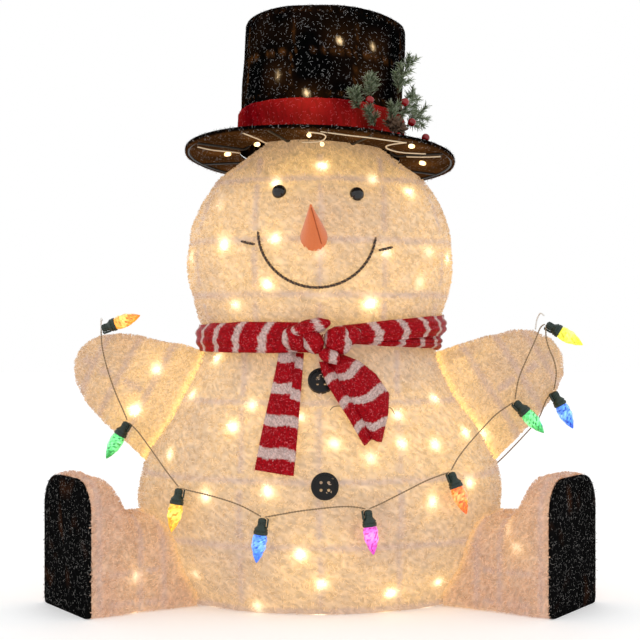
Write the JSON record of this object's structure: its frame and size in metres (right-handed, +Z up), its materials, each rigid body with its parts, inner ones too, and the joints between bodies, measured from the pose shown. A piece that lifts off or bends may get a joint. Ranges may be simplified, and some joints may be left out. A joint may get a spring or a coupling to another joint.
{
  "type": "lighted yard snowman",
  "caption": "Sitting yard snowman of plush over wire frames, with tinsel top hat, striped scarf, buttons and a coloured bulb garland.",
  "frame": {"origin": "middle of the torso's flat base, on the ground", "axes": "+Z up, the face looks along -Y, +X to the viewer's right"},
  "size_m": [0.8484, 0.4857, 0.917],
  "materials": {
    "plush": "curly tinsel plush, lit from inside",
    "frame_wire": "white powder coat on welded wire",
    "light_string": "clear mini lights on cream wire",
    "hat_tinsel": "black tinsel cloth",
    "band_tinsel": "red tinsel cloth",
    "scarf_tinsel": "red and white tinsel knit",
    "sole_tinsel": "black tinsel cloth",
    "button_plastic": "moulded, glossy",
    "eye_plastic": "moulded, glossy",
    "nose_felt": "orange felt",
    "smile_cord": "twisted black cord",
    "pine_needle": "frosted needles",
    "berry_plastic": "glossy",
    "cone_wood": "dry scales",
    "garland_wire": "thin twisted pair",
    "socket_plastic": "moulded, satin",
    "grommet_rubber": "moulded",
    "lens_amber": "faceted, translucent, lit",
    "lens_green": "faceted, translucent, lit",
    "lens_yellow": "faceted, translucent, lit",
    "lens_blue": "faceted, translucent, lit",
    "lens_magenta": "faceted, translucent, lit",
    "lens_orange": "faceted, translucent, lit"
  },
  "bodies": {
    "torso": {"torso_cover": "plush", "torso_hoops": "frame_wire", "torso_uprights": "frame_wire", "torso_lights": "light_string", "neck_posts": "frame_wire", "coat_button_upper": "button_plastic", "coat_button_lower": "button_plastic", "scarf_wrap": "scarf_tinsel", "scarf_knot": "scarf_tinsel", "scarf_tail_long": "scarf_tinsel", "scarf_tail_short": "scarf_tinsel", "garland_wire_front": "garland_wire", "lead_grommet": "grommet_rubber"},
    "head": {"head_cover": "plush", "head_hoops": "frame_wire", "head_uprights": "frame_wire", "head_lights": "light_string", "eye_left": "eye_plastic", "eye_right": "eye_plastic", "nose": "nose_felt", "smile": "smile_cord"},
    "hat": {"hat_crown": "hat_tinsel", "hat_brim": "hat_tinsel", "hat_band": "band_tinsel", "hat_frame": "frame_wire", "hat_lights": "light_string", "pine_sprig": "pine_needle", "holly_berries": "berry_plastic", "pine_cone": "cone_wood"},
    "arm_left": {"arm_cover_left": "plush", "arm_frame_left": "frame_wire", "garland_wire_left_arm": "garland_wire", "bulb_1_lens": "lens_amber", "bulb_1_socket": "socket_plastic"},
    "arm_right": {"arm_cover_right": "plush", "arm_frame_right": "frame_wire", "garland_wire_right_arm": "garland_wire", "garland_lead": "garland_wire", "bulb_8_lens": "lens_yellow", "bulb_8_socket": "socket_plastic"},
    "leg_left": {"leg_cover_left": "plush", "leg_frame_left": "frame_wire", "boot_sole_left": "sole_tinsel"},
    "leg_right": {"leg_cover_right": "plush", "leg_frame_right": "frame_wire", "boot_sole_right": "sole_tinsel"},
    "bulb_2": {"bulb_2_lens": "lens_green", "bulb_2_socket": "socket_plastic"},
    "bulb_3": {"bulb_3_lens": "lens_yellow", "bulb_3_socket": "socket_plastic"},
    "bulb_4": {"bulb_4_lens": "lens_blue", "bulb_4_socket": "socket_plastic"},
    "bulb_5": {"bulb_5_lens": "lens_magenta", "bulb_5_socket": "socket_plastic"},
    "bulb_6": {"bulb_6_lens": "lens_orange", "bulb_6_socket": "socket_plastic"},
    "bulb_7": {"bulb_7_lens": "lens_green", "bulb_7_socket": "socket_plastic"},
    "bulb_9": {"bulb_9_lens": "lens_blue", "bulb_9_socket": "socket_plastic"}
  },
  "joints": [
    {"name": "head_lift", "type": "slide", "parent": "torso", "child": "head", "axis": [0, 0, 1], "range_m": [0, 0.08]},
    {"name": "hat_lift", "type": "slide", "parent": "head", "child": "hat", "axis": [0.0434, 0.1045, 0.9936], "range_m": [0, 0.1]},
    {"name": "arm_left_pull", "type": "slide", "parent": "torso", "child": "arm_left", "axis": [-0.8829, 0, 0.4695], "range_m": [0, 0.04]},
    {"name": "arm_right_pull", "type": "slide", "parent": "torso", "child": "arm_right", "axis": [0.848, 0, 0.5299], "range_m": [0, 0.04]},
    {"name": "leg_left_pull", "type": "slide", "parent": "torso", "child": "leg_left", "axis": [-0.848, -0.5299, 0], "range_m": [0, 0.05]},
    {"name": "leg_right_pull", "type": "slide", "parent": "torso", "child": "leg_right", "axis": [0.848, -0.5299, 0], "range_m": [0, 0.05]},
    {"name": "bulb_2_swing", "type": "hinge", "parent": "arm_left", "child": "bulb_2", "pos_m": [-0.297, -0.066, 0.277], "axis": [0, -1, 0], "range_deg": [-15, 15], "stiffness_Nm_per_rad": 0.08},
    {"name": "bulb_3_swing", "type": "hinge", "parent": "torso", "child": "bulb_3", "pos_m": [-0.207, -0.176, 0.187], "axis": [-0.6, -0.8, 0], "range_deg": [-15, 15], "stiffness_Nm_per_rad": 0.08},
    {"name": "bulb_4_swing", "type": "hinge", "parent": "torso", "child": "bulb_4", "pos_m": [-0.082, -0.235, 0.151], "axis": [-0.2161, -0.9764, 0], "range_deg": [-15, 15], "stiffness_Nm_per_rad": 0.08},
    {"name": "bulb_5_swing", "type": "hinge", "parent": "torso", "child": "bulb_5", "pos_m": [0.068, -0.238, 0.163], "axis": [0.1799, -0.9837, 0], "range_deg": [-15, 15], "stiffness_Nm_per_rad": 0.08},
    {"name": "bulb_6_swing", "type": "hinge", "parent": "torso", "child": "bulb_6", "pos_m": [0.192, -0.18, 0.211], "axis": [0.5602, -0.8283, 0], "range_deg": [-15, 15], "stiffness_Nm_per_rad": 0.08},
    {"name": "bulb_7_swing", "type": "hinge", "parent": "arm_right", "child": "bulb_7", "pos_m": [0.3, -0.074, 0.309], "axis": [0, -1, 0], "range_deg": [-15, 15], "stiffness_Nm_per_rad": 0.08},
    {"name": "bulb_9_swing", "type": "hinge", "parent": "arm_right", "child": "bulb_9", "pos_m": [0.366, -0.03, 0.322], "axis": [0, -1, 0], "range_deg": [-8, 15], "stiffness_Nm_per_rad": 0.08}
  ]
}
